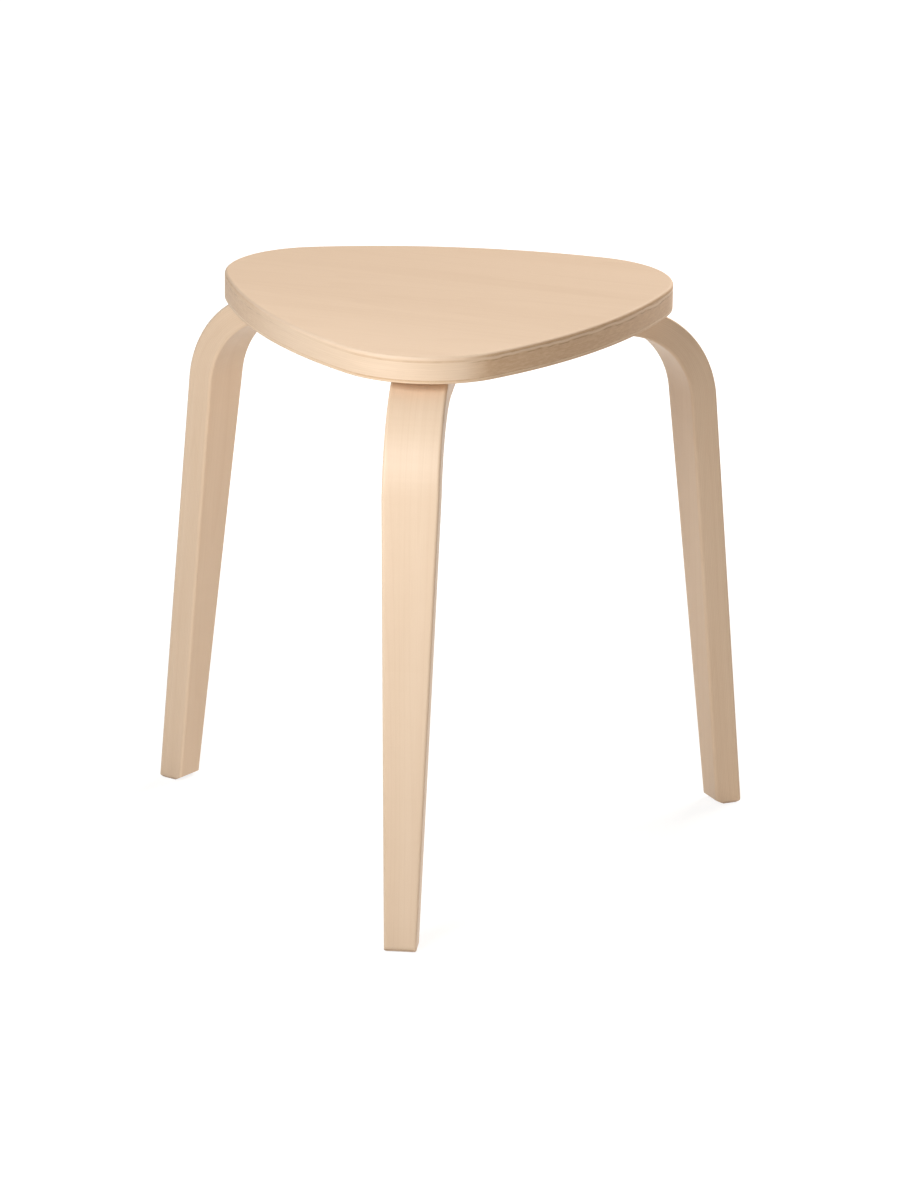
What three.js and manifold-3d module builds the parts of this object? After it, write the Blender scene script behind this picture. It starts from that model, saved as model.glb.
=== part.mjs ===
// Stacking stool: a laminated three-cornered seat on three bent laminated legs.
// Millimetres, +Z up, floor at Z = 0. The front leg points along -Y, and the origin
// is on the floor, in the middle of the rectangle that the stool covers.

import * as THREE from 'three';
import { mergeVertices } from 'three/addons/utils/BufferGeometryUtils.js';
import Module from 'manifold-3d';

const wasm = await Module();
wasm.setup();

// Whole stool
const stoolHeight = 450;
const footReach = 269;

// Seat blank: three long side arcs that run into three corner arcs
const seatSideRadius = 440;
const seatCornerRadius = 80.5;
const seatCornerReach = 192;
const facePly = 3;
const coreThickness = 15.5;
const backPly = 2.7;
const faceRound = 2.2;
const backRound = 1;

// Bent leg: one width from the tongue round the bend, then a taper down to the foot
const legThickness = 22.5;
const legWidth = 44;
const footWidth = 25;
const bendInnerRadius = 65;
const legSplay = THREE.MathUtils.degToRad(6);
const legArris = 2.5;
const tongueCornerRadius = 9;

// Foot: cut flat to the floor, with its lower edges taken off
const footBevelRun = 7;
const footBevelRise = 4.2;
const footOuterRound = 3.6;
const footSideChamfer = 2;

// Two bolts in line through each tongue, in counterbores from below
const boltToBend = 18;
const boltPitch = 40;
const boltToTongueEnd = 22;
const boltRadius = 3;
const boltLength = 30;
const boltTipChamfer = 0.8;
const headRadius = 5.25;
const headHeight = 3.3;
const headRim = 1.1;
const headFlatRadius = 3.1;
const socketFlats = 4;
const socketDepth = 2.1;
const washerRadius = 6.2;
const washerThickness = 1.6;
const washerHoleRadius = 3.25;
const counterboreRadius = 7.2;
const counterboreDepth = 6.8;
const boltHoleRadius = 3.4;

// Threaded insert: a sleeve with a flange, let into the underside of the seat
const insertRadius = 4.8;
const insertLength = 13;
const insertFlangeRadius = 6.6;
const insertFlange = 1.2;
const insertTaper = 0.8;

// Clearances
const glueLine = 0.15;
const restGap = 0.2;
const insertClearance = 0.2;
const threadClearance = 0.15;
const insertEndGap = 0.6;
const cutOverrun = 12;

// Facets
const legCount = 3;
const cornerSteps = 16;
const sideSteps = 12;
const roundSteps = 4;
const bendSteps = 16;
const tongueEndSteps = 5;
const turnSteps = 20;

// Heights and reaches that follow from the sizes above
const legTurn = 2 * Math.PI / legCount;
const halfTurn = legTurn / 2;
const seatTop = stoolHeight;
const coreTop = seatTop - facePly - glueLine;
const coreBottom = coreTop - coreThickness;
const backTop = coreBottom - glueLine;
const seatBottom = backTop - backPly;
const tongueTop = seatBottom - restGap;
const tongueBottom = tongueTop - legThickness;
const bendOuterRadius = bendInnerRadius + legThickness;
const bendCentreHeight = tongueTop - bendOuterRadius;
const bendCentreReach = footReach - bendCentreHeight * Math.tan(legSplay) - bendOuterRadius / Math.cos(legSplay);
const boltReaches = {
  outer: bendCentreReach - boltToBend,
  inner: bendCentreReach - boltToBend - boltPitch,
};
const tongueEndReach = boltReaches.inner - boltToTongueEnd;
const washerTop = tongueBottom + counterboreDepth - restGap;
const headTop = washerTop - washerThickness - restGap;

// Seat outline: the side arc's centre lies behind the stool's axis, where the arc is
// tangent to the corner arcs at both of its ends
const cornerCentreReach = seatCornerReach - seatCornerRadius;
const arcCentreGap = seatSideRadius - seatCornerRadius;
const acrossCorner = cornerCentreReach * Math.sin(halfTurn);
const alongCorner = cornerCentreReach * Math.cos(halfTurn);
const sideCentreReach = Math.sqrt(arcCentreGap ** 2 - acrossCorner ** 2) - alongCorner;
const sideHalf = Math.asin(acrossCorner / arcCentreGap);
const cornerHalf = halfTurn - sideHalf;

// The origin is midway between the front foot and whatever reaches furthest back
const seatBackReach = seatSideRadius - sideCentreReach;
const footBackReach = footReach * Math.cos(halfTurn) + footWidth / 2 * Math.sin(halfTurn);
const axisSetback = (footReach - Math.max(seatBackReach, footBackReach)) / 2;

// Materials: clear lacquered birch, the darker edge grain of the core, zinc-plated steel
const birch = new THREE.MeshStandardMaterial({ color: '#e6cdb1', roughness: 0.42, metalness: 0 });
const birchCore = new THREE.MeshStandardMaterial({ color: '#dcc0a0', roughness: 0.5, metalness: 0 });
const birchLeg = new THREE.MeshStandardMaterial({ color: '#e4c9ab', roughness: 0.42, metalness: 0 });
const zincSteel = new THREE.MeshStandardMaterial({ color: '#b7babd', roughness: 0.3, metalness: 1 });
const brassySteel = new THREE.MeshStandardMaterial({ color: '#b9a878', roughness: 0.35, metalness: 1 });

// A closed skin through equal rings of points, with a flat fan over each end.
// Each ring runs anticlockwise seen from where the rings are heading.
function loft(rings) {
  const count = rings[0].length;
  const positions = rings.flat().flatMap((point) => [point.x, point.y, point.z]);
  const faces = [];
  for (let row = 0; row + 1 < rings.length; row++) {
    for (let i = 0; i < count; i++) {
      const next = (i + 1) % count;
      const [a, b] = [row * count + i, row * count + next];
      const [c, d] = [a + count, b + count];
      faces.push(a, b, d, a, d, c);
    }
  }
  const last = (rings.length - 1) * count;
  for (let i = 1; i + 1 < count; i++) {
    faces.push(0, i + 1, i);
    faces.push(last, last + i, last + i + 1);
  }
  const geometry = new THREE.BufferGeometry();
  geometry.setAttribute('position', new THREE.Float32BufferAttribute(positions, 3));
  geometry.setIndex(faces);
  return geometry;
}

// Geometry to a solid that can be cut, and back again
function solid(geometry) {
  const bare = geometry.clone();
  bare.deleteAttribute('normal');
  bare.deleteAttribute('uv');
  const merged = mergeVertices(bare);
  const mesh = new wasm.Mesh({
    numProp: 3,
    vertProperties: new Float32Array(merged.attributes.position.array),
    triVerts: new Uint32Array(merged.index.array),
  });
  return new wasm.Manifold(mesh);
}

function geometryOf(body) {
  const mesh = body.getMesh();
  const geometry = new THREE.BufferGeometry();
  geometry.setAttribute('position', new THREE.Float32BufferAttribute(mesh.vertProperties, 3));
  geometry.setIndex(Array.from(mesh.triVerts));
  geometry.computeVertexNormals();
  return geometry;
}

// Upright round cutter or pin between two heights, at a reach along X
function column(radius, bottom, top, reach) {
  const geometry = new THREE.CylinderGeometry(radius, radius, top - bottom, turnSteps);
  geometry.rotateX(Math.PI / 2);
  geometry.translate(reach, 0, (top + bottom) / 2);
  return solid(geometry);
}

function turned(profile) {
  const points = profile.map(([radius, height]) => new THREE.Vector2(radius, height));
  const geometry = new THREE.LatheGeometry(points, turnSteps);
  geometry.rotateX(Math.PI / 2);
  return geometry;
}

// Points along an arc about a centre that lies in a direction from the stool's axis,
// without the arc's last point, so that arcs can be joined end to end
function seatArc(turn, centreReach, radius, half, steps) {
  const x = centreReach * Math.cos(turn);
  const y = centreReach * Math.sin(turn);
  return new THREE.ArcCurve(x, y, radius, turn - half, turn + half).getPoints(steps).slice(0, -1);
}

// Seat outline drawn in by an inset, at a height
function seatRing(inset, height) {
  const ring = [];
  for (let i = 0; i < legCount; i++) {
    const turn = i * legTurn;
    ring.push(...seatArc(turn, cornerCentreReach, seatCornerRadius - inset, cornerHalf, cornerSteps));
    ring.push(...seatArc(turn + halfTurn, -sideCentreReach, seatSideRadius - inset, sideHalf, sideSteps));
  }
  return ring.map((point) => new THREE.Vector3(point.x, point.y, height));
}

// Rings that round an edge over, from the upright wall to the flat of the ply
function roundedEdge(radius, flatHeight, direction) {
  return Array.from({ length: roundSteps + 1 }, (_, i) => {
    const turn = i / roundSteps * Math.PI / 2;
    const inset = radius * (1 - Math.cos(turn));
    const height = flatHeight - direction * radius * (1 - Math.sin(turn));
    return seatRing(inset, height);
  });
}

// All the bolt places, as reach and leg turn
function forEachBolt(action) {
  for (let i = 0; i < legCount; i++) {
    for (const reach of Object.values(boltReaches)) {
      action(reach, i * legTurn);
    }
  }
}

function cutAtBolts(body, makeCutter) {
  let result = body;
  forEachBolt((reach, turn) => {
    const cutter = makeCutter(reach).rotate([0, 0, THREE.MathUtils.radToDeg(turn)]);
    result = result.subtract(cutter);
  });
  return result;
}

// Face ply: thin birch sheet with a rounded upper edge
function makeFacePly() {
  return loft([seatRing(0, seatTop - facePly), ...roundedEdge(faceRound, seatTop, 1)]);
}

// Core: thick laminated blank, drilled from below for the inserts
function makeCore() {
  const blank = solid(loft([seatRing(0, coreBottom), seatRing(0, coreTop)]));
  const holeRadius = insertRadius + insertClearance;
  const holeTop = seatBottom + insertLength + insertEndGap;
  return geometryOf(cutAtBolts(blank, (reach) => column(holeRadius, coreBottom - cutOverrun, holeTop, reach)));
}

// Back ply: thin sheet with a slightly rounded lower edge and stepped holes for the inserts
function makeBackPly() {
  const edge = roundedEdge(backRound, seatBottom, -1).reverse();
  const blank = solid(loft([...edge, seatRing(0, backTop)]));
  const sleeveHole = insertRadius + insertClearance;
  const flangeHole = insertFlangeRadius + insertClearance;
  const flangeTop = seatBottom + insertFlange + insertClearance;
  return geometryOf(cutAtBolts(blank, (reach) => {
    const sleeve = column(sleeveHole, seatBottom - cutOverrun, backTop + cutOverrun, reach);
    const flange = column(flangeHole, seatBottom - cutOverrun, flangeTop, reach);
    return sleeve.add(flange);
  }));
}

// Leg cross-section as [across, depth below the outer face], with its four arrises rounded
function legSection(width) {
  const across = width / 2 - legArris;
  const corners = [
    [across, legThickness - legArris],
    [-across, legThickness - legArris],
    [-across, legArris],
    [across, legArris],
  ];
  return corners.flatMap(([x, depth], quarter) => Array.from({ length: roundSteps + 1 }, (_, i) => {
    const turn = (quarter + i / roundSteps) * Math.PI / 2;
    return [x + legArris * Math.cos(turn), depth + legArris * Math.sin(turn)];
  }));
}

// One ring of the leg. The station is a point on the outer face, and the tilt is how far
// the face's outward direction is turned up from level.
function legRing(reach, height, tilt, width) {
  return legSection(width).map(([across, depth]) => new THREE.Vector3(
    reach - depth * Math.cos(tilt),
    across,
    height - depth * Math.sin(tilt),
  ));
}

// Side view of the finished foot: flat on the floor, round outside, bevelled inside
function footSideShape() {
  const innerReach = footReach - legThickness / Math.cos(legSplay);
  const bevelStart = innerReach + footBevelRun;
  const bevelSlope = footBevelRise / footBevelRun;
  const farReach = tongueEndReach - cutOverrun;
  const top = stoolHeight + cutOverrun;
  const shape = new THREE.Shape();
  shape.moveTo(bevelStart, 0);
  shape.lineTo(footReach - footOuterRound, 0);
  shape.absarc(footReach - footOuterRound, footOuterRound, footOuterRound, -Math.PI / 2, 0, false);
  shape.lineTo(footReach, top);
  shape.lineTo(farReach, top);
  shape.lineTo(farReach, (bevelStart - farReach) * bevelSlope);
  return shape;
}

// Front view of the finished foot: both lower side edges chamfered
function footFrontShape() {
  const half = footWidth / 2;
  const shape = new THREE.Shape();
  shape.moveTo(footSideChamfer - half, 0);
  shape.lineTo(half - footSideChamfer, 0);
  shape.lineTo(half + legWidth, footSideChamfer + legWidth);
  shape.lineTo(half + legWidth, stoolHeight + cutOverrun);
  shape.lineTo(-half - legWidth, stoolHeight + cutOverrun);
  shape.lineTo(-half - legWidth, footSideChamfer + legWidth);
  return shape;
}

function footTrim() {
  const side = new THREE.ExtrudeGeometry(footSideShape(), {
    depth: 2 * legWidth,
    bevelEnabled: false,
    curveSegments: roundSteps,
  });
  side.translate(0, 0, -legWidth);
  side.rotateX(Math.PI / 2);
  const front = new THREE.ExtrudeGeometry(footFrontShape(), {
    depth: footReach + cutOverrun,
    bevelEnabled: false,
  });
  front.rotateX(Math.PI / 2);
  front.rotateZ(Math.PI / 2);
  return solid(side).intersect(solid(front));
}

// Bent leg: foot up to the bend, round it, and along the tongue to its rounded end
function makeLeg() {
  const rings = [];
  const taperHeight = bendCentreHeight + bendOuterRadius * Math.sin(legSplay);
  const taperPerHeight = (legWidth - footWidth) / taperHeight;
  rings.push(legRing(
    footReach + cutOverrun * Math.tan(legSplay),
    -cutOverrun,
    legSplay,
    footWidth - cutOverrun * taperPerHeight,
  ));
  for (let i = 0; i <= bendSteps; i++) {
    const tilt = THREE.MathUtils.lerp(legSplay, Math.PI / 2, i / bendSteps);
    const reach = bendCentreReach + bendOuterRadius * Math.cos(tilt);
    const height = bendCentreHeight + bendOuterRadius * Math.sin(tilt);
    rings.push(legRing(reach, height, tilt, legWidth));
  }
  for (let i = 0; i <= tongueEndSteps; i++) {
    const turn = i / tongueEndSteps * Math.PI / 2;
    const reach = tongueEndReach + tongueCornerRadius * (1 - Math.sin(turn));
    const width = legWidth - 2 * tongueCornerRadius * (1 - Math.cos(turn));
    rings.push(legRing(reach, tongueTop, Math.PI / 2, width));
  }
  let leg = solid(loft(rings)).intersect(footTrim());
  for (const reach of Object.values(boltReaches)) {
    const shankHole = column(boltHoleRadius, tongueBottom - cutOverrun, tongueTop + cutOverrun, reach);
    const headHole = column(counterboreRadius, tongueBottom - cutOverrun, tongueBottom + counterboreDepth, reach);
    leg = leg.subtract(shankHole.add(headHole));
  }
  return geometryOf(leg);
}

// Button-head bolt, pointing up from the underside of its head, with a hexagon socket
function makeBolt() {
  const dome = Array.from({ length: roundSteps + 1 }, (_, i) => {
    const turn = i / roundSteps * Math.PI / 2;
    const radius = headFlatRadius + (headRadius - headFlatRadius) * Math.sin(turn);
    const height = -headRim - (headHeight - headRim) * Math.cos(turn);
    return [radius, height];
  });
  const profile = [
    [0, -headHeight],
    ...dome,
    [headRadius, 0],
    [boltRadius, 0],
    [boltRadius, boltLength - boltTipChamfer],
    [boltRadius - boltTipChamfer, boltLength],
    [0, boltLength],
  ];
  const socketRadius = socketFlats / 2 / Math.cos(Math.PI / 6);
  const socket = new THREE.CylinderGeometry(socketRadius, socketRadius, 2 * socketDepth, 6);
  socket.rotateX(Math.PI / 2);
  socket.translate(0, 0, -headHeight);
  return geometryOf(solid(turned(profile)).subtract(solid(socket)));
}

// Flat washer, its top face at zero
function makeWasher() {
  return turned([
    [washerHoleRadius, -washerThickness],
    [washerRadius, -washerThickness],
    [washerRadius, 0],
    [washerHoleRadius, 0],
    [washerHoleRadius, -washerThickness],
  ]);
}

// Threaded insert, its flange face at zero and its sleeve going up into the seat
function makeInsert() {
  const bore = boltRadius + threadClearance;
  return turned([
    [bore, 0],
    [insertFlangeRadius, 0],
    [insertFlangeRadius, insertFlange],
    [insertRadius, insertFlange],
    [insertRadius, insertLength - insertTaper],
    [insertRadius - insertTaper, insertLength],
    [bore, insertLength],
    [bore, 0],
  ]);
}

function named(name, geometry, material) {
  const mesh = new THREE.Mesh(geometry, material);
  mesh.name = name;
  return mesh;
}

// Seat, with its corners turned to the legs
const seat = new THREE.Group();
seat.add(named('seat_face_ply', makeFacePly(), birch));
seat.add(named('seat_core', makeCore(), birchCore));
seat.add(named('seat_back_ply', makeBackPly(), birch));
seat.rotation.z = -Math.PI / 2;

// Legs with their fasteners, one group for each corner of the seat
const legGeometry = makeLeg();
const boltGeometry = makeBolt();
const washerGeometry = makeWasher();
const insertGeometry = makeInsert();
const legNames = ['front', 'right', 'left'];
const legs = legNames.map((legName, i) => {
  const group = new THREE.Group();
  group.add(named(`leg_${legName}`, legGeometry, birchLeg));
  for (const [place, reach] of Object.entries(boltReaches)) {
    const bolt = named(`bolt_${legName}_${place}`, boltGeometry, zincSteel);
    bolt.position.set(reach, 0, headTop);
    const washer = named(`washer_${legName}_${place}`, washerGeometry, zincSteel);
    washer.position.set(reach, 0, washerTop);
    const insert = named(`insert_${legName}_${place}`, insertGeometry, brassySteel);
    insert.position.set(reach, 0, seatBottom);
    group.add(bolt, washer, insert);
  }
  group.rotation.z = i * legTurn - Math.PI / 2;
  return group;
});

const stool = new THREE.Group();
stool.add(seat, ...legs);
stool.position.y = axisSetback;

export default stool;
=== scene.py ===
# A stacking stool: a seat of glued birch layers, bolted to three bent and tapered legs.
# Metres, +Z up, floor at Z = 0. The front leg points along -Y, the other two to the back.

import math
from functools import partial

import bmesh
import bpy
from mathutils import Color, Matrix, Vector


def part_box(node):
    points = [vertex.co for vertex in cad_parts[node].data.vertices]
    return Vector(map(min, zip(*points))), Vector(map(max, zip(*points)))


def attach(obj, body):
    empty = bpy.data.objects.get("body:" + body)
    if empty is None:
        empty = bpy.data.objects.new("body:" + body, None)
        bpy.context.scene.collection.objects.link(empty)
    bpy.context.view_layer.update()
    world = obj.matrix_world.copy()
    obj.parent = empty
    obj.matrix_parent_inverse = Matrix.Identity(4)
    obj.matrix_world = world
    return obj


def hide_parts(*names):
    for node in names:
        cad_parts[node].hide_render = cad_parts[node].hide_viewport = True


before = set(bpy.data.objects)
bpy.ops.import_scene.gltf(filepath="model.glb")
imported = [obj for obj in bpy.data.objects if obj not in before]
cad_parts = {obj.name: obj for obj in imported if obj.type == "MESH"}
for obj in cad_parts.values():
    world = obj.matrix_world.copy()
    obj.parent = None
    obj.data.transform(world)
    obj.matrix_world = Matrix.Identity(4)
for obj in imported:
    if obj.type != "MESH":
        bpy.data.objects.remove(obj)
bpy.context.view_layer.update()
mm = 0.001


# Seat core: the thick middle of the seat, birch veneers glued up, sawn to a rounded triangle and
# sanded. Its edge shows them as faint long streaks. Six blind holes from below take the threaded
# inserts that the legs are bolted to.

leg_turns = {"front": math.radians(-90), "right": math.radians(30), "left": math.radians(150)}
bolt_places = ("outer", "inner")
sixth_turn = math.radians(60)


def middle(node):
    """The middle of a CAD node's box."""
    low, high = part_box(node)
    return (low + high) / 2


# The stool's upright axis is in the middle of its six bolts
bolt_middles = [middle(f"bolt_{leg}_{place}") for leg in leg_turns for place in bolt_places]
axis = sum(bolt_middles, Vector()) / len(bolt_middles)
axis.z = 0
bolt_reaches = {place: axis.y - middle(f"bolt_front_{place}").y for place in bolt_places}

# Seat outline: three long side arcs that run into three corner arcs
corner_radius = 80.5 * mm
corner_steps = 72
side_steps = 36
seat_low, seat_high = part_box("seat_face_ply")
corner_centre_reach = axis.y - seat_low.y - corner_radius
side_reach = seat_high.y - axis.y
across_corner = corner_centre_reach * math.sin(sixth_turn)
along_corner = corner_centre_reach * math.cos(sixth_turn) - side_reach
from_middle = across_corner ** 2 + along_corner ** 2
side_radius = (corner_radius ** 2 - from_middle) / (2 * (corner_radius + along_corner))
side_half = math.asin(across_corner / (side_radius - corner_radius))
corner_half = sixth_turn - side_half


def arc(turn, centre_reach, radius, half, steps):
    """Points of an arc whose centre lies in one direction from the axis, without its last point."""
    centre = axis + centre_reach * Vector((math.cos(turn), math.sin(turn), 0))
    turns = [turn - half + 2 * half * i / steps for i in range(steps)]
    return [centre + radius * Vector((math.cos(t), math.sin(t), 0)) for t in turns]


def outline(inset, height, share=1.0):
    """The seat's outline drawn in by an inset, shrunk to a share of its size, at a height."""
    ring = []
    for turn in leg_turns.values():
        ring += arc(turn, corner_centre_reach, corner_radius - inset, corner_half, corner_steps)
        ring += arc(turn + sixth_turn, side_reach - side_radius, side_radius - inset, side_half, side_steps)
    return [axis + share * (point - axis) + Vector((0, 0, height)) for point in ring]


edge_steps = 8
edge_support = 0.12 * mm
flat_shares = (0.12, 0.3, 0.5, 0.7, 0.85, 0.95)


def layer_rings(bottom, top, lower_round, upper_round):
    """Rings of one glued layer, from the middle of its underside out and up to the middle of its top."""
    quarter = [i / edge_steps * math.pi / 2 for i in range(edge_steps + 1)]
    rings = [outline(lower_round + edge_support, bottom, share) for share in flat_shares]
    rings.append(outline(lower_round + edge_support, bottom))
    for turn in quarter:
        inset = lower_round * (1 - math.sin(turn))
        rings.append(outline(inset, bottom + lower_round * (1 - math.cos(turn))))
    rings.append(outline(0, bottom + lower_round + edge_support))
    rings.append(outline(0, top - upper_round - edge_support))
    for turn in quarter:
        inset = upper_round * (1 - math.cos(turn))
        rings.append(outline(inset, top - upper_round * (1 - math.sin(turn))))
    rings.append(outline(upper_round + edge_support, top))
    rings += [outline(upper_round + edge_support, top, share) for share in reversed(flat_shares)]
    return rings


def add_piece(name, mesh):
    """Makes an object of the scene from a bmesh, with its faces pointing out."""
    bmesh.ops.recalc_face_normals(mesh, faces=mesh.faces)
    data = bpy.data.meshes.new(name)
    mesh.to_mesh(data)
    mesh.free()
    piece = bpy.data.objects.new(name, data)
    bpy.context.scene.collection.objects.link(piece)
    return piece


def loft(name, rings):
    """A closed skin through equal rings, with a fan over its first and its last ring."""
    mesh = bmesh.new()
    rows = [[mesh.verts.new(point) for point in ring] for ring in rings]
    count = len(rows[0])
    for lower, upper in zip(rows, rows[1:]):
        for i in range(count):
            j = (i + 1) % count
            mesh.faces.new((lower[i], lower[j], upper[j], upper[i]))
    for row, side in ((rows[0], -1), (rows[-1], 1)):
        centre = mesh.verts.new(sum((vertex.co for vertex in row), Vector()) / count)
        for i in range(count):
            mesh.faces.new((row[i], row[(i + side) % count], centre))
    return add_piece(name, mesh)


thread_flank_share = 0.34


def turned(name, profile, steps, place=Vector(), pitch=1.0):
    """A piece turned on the lathe, standing on a place. Its profile closes on itself or on its axis, in rows
    of (radius, height), or of (radius, height, ridge) where a thread of that ridge winds round it."""
    mesh = bmesh.new()
    rows = []
    for radius, height, *ridge in profile:
        row = []
        for i in range(steps if radius > 0 else 1):
            reach = radius
            if ridge:
                off_crest = abs((height / pitch - i / steps) % 1 - 0.5)
                reach += ridge[0] * max(0, 1 - off_crest / thread_flank_share)
            turn = math.tau * i / steps
            point = Vector((reach * math.cos(turn), reach * math.sin(turn), height))
            row.append(mesh.verts.new(place + point))
        rows.append(row)
    closing = [] if profile[0][0] == 0 else [(rows[-1], rows[0])]
    for first, second in [*zip(rows, rows[1:]), *closing]:
        for i in range(steps):
            j = (i + 1) % steps
            near = (first[i % len(first)], first[j % len(first)])
            far = (second[j % len(second)], second[i % len(second)])
            mesh.faces.new(list(dict.fromkeys(near + far)))
    return add_piece(name, mesh)


sharp_angle = math.radians(32)


def finish_shape(piece, *modifiers):
    """Applies modifiers to a piece, smooths its faces and keeps its creases sharp."""
    for kind, settings in modifiers:
        modifier = piece.modifiers.new(kind.title(), kind)
        for setting, value in settings.items():
            setattr(modifier, setting, value)
    shaped = piece.evaluated_get(bpy.context.evaluated_depsgraph_get())
    data = bpy.data.meshes.new_from_object(shaped)
    piece.modifiers.clear()
    piece.data = data
    data.name = piece.name
    data.shade_smooth()
    data.set_sharp_from_angle(angle=sharp_angle)


def drill(piece, cutters, *more):
    """Cuts turned cutters out of a piece, throws them away, and applies more modifiers."""
    cut = {"operation": "DIFFERENCE", "solver": "EXACT"}
    finish_shape(piece, *[("BOOLEAN", {**cut, "object": cutter}) for cutter in cutters], *more)
    for cutter in cutters:
        bpy.data.objects.remove(cutter)


def at_bolt(leg, place, height=0.0):
    """The point on a bolt's centreline at a height."""
    turn = leg_turns[leg]
    return axis + bolt_reaches[place] * Vector((math.cos(turn), math.sin(turn), 0)) + Vector((0, 0, height))


joint_round = 0.12 * mm
joint_gap = 0.02 * mm
hole_steps = 48
insert_hole_radius = 5.0 * mm
insert_end_gap = 0.6 * mm
drill_point = 1.0 * mm
drill_overrun = 5.0 * mm
core_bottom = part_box("seat_core")[0].z
core_top = seat_low.z - joint_gap
insert_low, insert_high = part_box("insert_front_outer")

core = loft("seat_core_blank", layer_rings(core_bottom, core_top, joint_round, joint_round))
hole_profile = [
    (0, core_bottom - drill_overrun),
    (insert_hole_radius, core_bottom - drill_overrun),
    (insert_hole_radius, insert_high.z + insert_end_gap),
    (0, insert_high.z + insert_end_gap + drill_point),
]
bolt_points = [at_bolt(leg, place) for leg in leg_turns for place in bolt_places]
drill(core, [turned("core_drill", hole_profile, hole_steps, point) for point in bolt_points])


# The core's finish is that of all the wood here: birch, sanded and under clear satin lacquer. Each piece
# mixes its own wood from the node groups below: long grain, end grain, sawn edges and glued veneers


def put(tree, kind, inputs=None, **settings):
    """Adds a node, and sets or links its inputs, which are given by name or by number."""
    node = tree.nodes.new(kind)
    for name, value in settings.items():
        setattr(node, name, value)
    for key, value in (inputs or {}).items():
        if isinstance(value, bpy.types.NodeSocket):
            tree.links.new(value, node.inputs[key])
        else:
            node.inputs[key].default_value = value
    return node


def sums(tree, operation, first, second=0.0):
    """The result of one sum, such as ADD, of one or two values."""
    return put(tree, "ShaderNodeMath", {0: first, 1: second}, operation=operation).outputs[0]


def product(tree, first, *others):
    """Several values multiplied together."""
    for other in others:
        first = sums(tree, "MULTIPLY", first, other)
    return first


def ramp(tree, value, low, high, bottom=0.0, top=1.0):
    """Eases from bottom to top as the value goes from low to high."""
    inputs = {"Value": value, "From Min": low, "From Max": high, "To Min": bottom, "To Max": top}
    return put(tree, "ShaderNodeMapRange", inputs, interpolation_type="SMOOTHSTEP").outputs[0]


def blend(tree, share, first, second):
    """Mixes two colours."""
    return put(tree, "ShaderNodeMix", {0: share, 6: first, 7: second}, data_type="RGBA").outputs[2]


def noise(tree, place, grain_size, detail=2.0, roughness=0.5, distortion=0.0):
    """Noise whose grains have the given size along each axis of the place, in metres."""
    scales = [1 / size for size in grain_size]
    scaled = put(tree, "ShaderNodeVectorMath", {0: place, 1: scales}, operation="MULTIPLY").outputs[0]
    inputs = {"Vector": scaled, "Scale": 1.0, "Detail": detail, "Roughness": roughness}
    inputs["Distortion"] = distortion
    return put(tree, "ShaderNodeTexNoise", inputs).outputs["Fac"]


def marks(tree, place, grain_size, levels, **look):
    """Marks of a size. They start to show at the first level of noise, and are full at the second."""
    return ramp(tree, noise(tree, place, grain_size, **look), *levels)


def new_group(name, inputs, outputs):
    """A shader node group: its tree, its inputs' sockets by name, and the node that takes its outputs."""
    tree = bpy.data.node_groups.new(name, "ShaderNodeTree")
    for label, (kind, value) in inputs.items():
        tree.interface.new_socket(label, in_out="INPUT", socket_type=kind).default_value = value
    for label, kind in outputs.items():
        tree.interface.new_socket(label, in_out="OUTPUT", socket_type=kind)
    return tree, tree.nodes.new("NodeGroupInput").outputs, tree.nodes.new("NodeGroupOutput")


def give(tree, out, **values):
    """Links a group's results to its outputs."""
    for label, value in values.items():
        tree.links.new(value, out.inputs[label])


def use_group(tree, group, **inputs):
    """Places a group in a tree with values for its inputs, and gives its outputs."""
    return put(tree, "ShaderNodeGroup", inputs, node_tree=group).outputs


def paint(red, green, blue):
    """A colour as it looks on a screen, 0 to 255, as the shaders' linear colour."""
    return (*Color((red / 255, green / 255, blue / 255)).from_srgb_to_scene_linear(), 1.0)


COLOUR = "NodeSocketColor"
NUMBER = "NodeSocketFloat"
VECTOR = "NodeSocketVector"
white = (1, 1, 1, 1)

# Long grain, in a place whose X runs along the fibres: soft bands, growth lines, fibres and pores
band_size = (0.34, 0.022, 0.022)
band_levels = (0.34, 0.68)
growth_size = (0.9, 0.045, 0.02)
growth_count = 17.0
growth_start = 0.62
growth_end = 0.97
fibre_size = (0.05, 0.0005, 0.0005)
fibre_levels = (0.3, 0.72)
pore_size = (0.0035, 0.00022, 0.00022)
pore_levels = (0.66, 0.78)
long_grain, given, out = new_group(
    "birch_long_grain",
    {
        "Place": (VECTOR, (0, 0, 0)),
        "Sapwood": (COLOUR, white),
        "Latewood": (COLOUR, white),
        "Bands": (NUMBER, 0.3),
        "Growth": (NUMBER, 0.2),
        "Fibres": (NUMBER, 0.2),
        "Pores": (NUMBER, 0.3),
    },
    {"Colour": COLOUR, "Height": NUMBER, "Dry": NUMBER},
)
place = given["Place"]
bands = marks(long_grain, place, band_size, band_levels, detail=1.5)
growth_noise = noise(long_grain, place, growth_size, detail=1.0, roughness=0.4)
growth_phase = sums(long_grain, "FRACT", product(long_grain, growth_noise, growth_count))
darkening = ramp(long_grain, growth_phase, growth_start, growth_end)
growth = product(long_grain, darkening, ramp(long_grain, growth_phase, growth_end, 1.0, 1.0, 0.0))
fibres = marks(long_grain, place, fibre_size, fibre_levels, detail=3.0, roughness=0.65)
pores = marks(long_grain, place, pore_size, pore_levels, detail=1.0)
total = 0.0
for mask, label in ((bands, "Bands"), (growth, "Growth"), (fibres, "Fibres"), (pores, "Pores")):
    total = sums(long_grain, "ADD", total, product(long_grain, mask, given[label]))
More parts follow.
